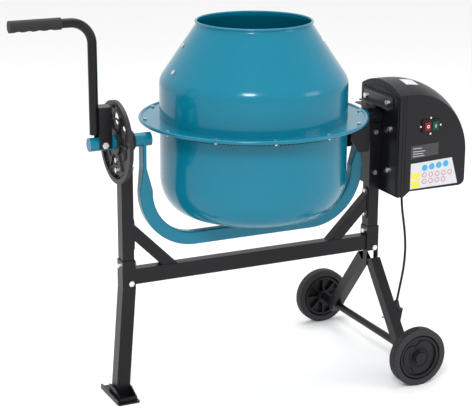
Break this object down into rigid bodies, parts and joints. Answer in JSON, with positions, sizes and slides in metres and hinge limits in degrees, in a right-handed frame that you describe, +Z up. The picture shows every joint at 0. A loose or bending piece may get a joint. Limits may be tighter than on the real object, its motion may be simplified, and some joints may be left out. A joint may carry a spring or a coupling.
{
  "type": "concrete mixer",
  "caption": "Small electric concrete mixer with a tilting drum in a U-shaped yoke on a two-wheeled steel stand, with a motor housing and a tipping lever.",
  "frame": {"origin": "on the ground, at the centre of the object's box in X and Y; the drum's axis stands 13.5 mm towards +X of it", "axes": "+Z up, +X along the tilt axis from the lever towards the motor housing, -Y the front where the foot plate and near wheel stand"},
  "size_m": [1.197, 0.566, 0.95],
  "materials": {
    "black_paint": "gloss black powder coat",
    "blue_paint": "gloss teal blue enamel",
    "zinc": "bright zinc plate",
    "raw_steel": "machined steel",
    "cast_black": "painted casting",
    "housing_plastic": "satin moulded plastic",
    "rim_plastic": "moulded plastic",
    "tyre_rubber": "solid rubber",
    "black_rubber": "soft rubber",
    "cord_sheath": "rubber sheath",
    "red_plastic": "moulded",
    "green_plastic": "moulded",
    "label_film": "printed film",
    "motor_metal": "cast"
  },
  "bodies": {
    "frame": {"left_post": "black_paint", "right_post": "black_paint", "cross_beam": "black_paint", "left_leg": "black_paint", "foot_plate": "black_paint", "right_sleeve": "black_paint", "left_brace": "black_paint", "right_brace": "black_paint", "near_axle_leg": "black_paint", "far_axle_leg": "black_paint", "axle": "black_paint", "axle_retainers": "rim_plastic", "left_bearing": "black_paint", "right_bearing": "black_paint", "bearing_clamp": "black_paint", "index_disc": "cast_black", "frame_bolts": "zinc", "mounting_plate": "black_paint", "support_bracket": "raw_steel", "housing_back": "housing_plastic", "housing_cover": "housing_plastic", "housing_screws": "zinc", "motor": "motor_metal", "motor_bracket": "raw_steel", "drive_belt": "black_rubber", "switch_box": "housing_plastic", "labels": "label_film", "cable_gland": "black_rubber", "power_cord": "cord_sheath", "plug_body": "rim_plastic", "plug_pins": "zinc"},
    "yoke": {"tilt_tube": "blue_paint", "right_trunnion": "blue_paint", "yoke_tube": "blue_paint", "pinion_guard": "black_paint", "drum_spindle": "raw_steel", "drum_bearings": "raw_steel", "spindle_nut": "zinc"},
    "drum": {"drum_hub": "blue_paint", "drum_bowl": "blue_paint", "drum_cone": "blue_paint", "drum_bolts": "zinc", "mixing_paddles": "blue_paint", "ring_gear": "cast_black"},
    "pinion_drive": {"pinion_gear": "cast_black", "pinion_shaft": "raw_steel", "drive_pulley": "cast_black"},
    "motor_rotor": {"motor_shaft": "raw_steel", "motor_pulley": "cast_black"},
    "lever": {"lever_tube": "black_paint", "lever_bracket": "black_paint", "lever_grip": "black_rubber", "lever_bolt": "zinc", "lever_spring": "raw_steel"},
    "near_wheel": {"near_tyre": "tyre_rubber", "near_rim": "rim_plastic"},
    "far_wheel": {"far_tyre": "tyre_rubber", "far_rim": "rim_plastic"},
    "stop_button": {"red_button": "red_plastic"},
    "start_button": {"green_button": "green_plastic"}
  },
  "joints": [
    {"name": "drum_tilt", "type": "hinge", "parent": "frame", "child": "yoke", "pos_m": [0.0135, 0, 0.646], "axis": [1, 0, 0], "range_deg": [-120, 120]},
    {"name": "drum_spin", "type": "hinge", "parent": "yoke", "child": "drum", "pos_m": [0.0135, 0, 0.44], "axis": [0, 0, 1], "continuous": true},
    {"name": "pinion_spin", "type": "hinge", "parent": "yoke", "child": "pinion_drive", "pos_m": [0.2635, 0, 0.646], "axis": [1, 0, 0], "continuous": true},
    {"name": "motor_spin", "type": "hinge", "parent": "frame", "child": "motor_rotor", "pos_m": [0.3965, 0, 0.521], "axis": [1, 0, 0], "continuous": true},
    {"name": "lever_release", "type": "hinge", "parent": "yoke", "child": "lever", "pos_m": [-0.3825, 0, 0.646], "axis": [0, -1, 0], "range_deg": [0, 6], "stiffness_Nm_per_rad": 20, "springref_deg": -28.65},
    {"name": "near_wheel_spin", "type": "hinge", "parent": "frame", "child": "near_wheel", "pos_m": [0.3545, -0.2505, 0.075], "axis": [0, 1, 0], "continuous": true},
    {"name": "far_wheel_spin", "type": "hinge", "parent": "frame", "child": "far_wheel", "pos_m": [0.3545, 0.2505, 0.075], "axis": [0, 1, 0], "continuous": true},
    {"name": "stop_press", "type": "slide", "parent": "frame", "child": "stop_button", "axis": [0, 1, 0], "range_m": [0, 0.003], "stiffness_N_per_m": 400, "springref_m": -0.002},
    {"name": "start_press", "type": "slide", "parent": "frame", "child": "start_button", "axis": [0, 1, 0], "range_m": [0, 0.003], "stiffness_N_per_m": 400, "springref_m": -0.002}
  ],
  "couplings": [
    {"joint": "pinion_spin", "follows": "drum_spin", "ratio": -14},
    {"joint": "motor_spin", "follows": "drum_spin", "ratio": -42}
  ]
}
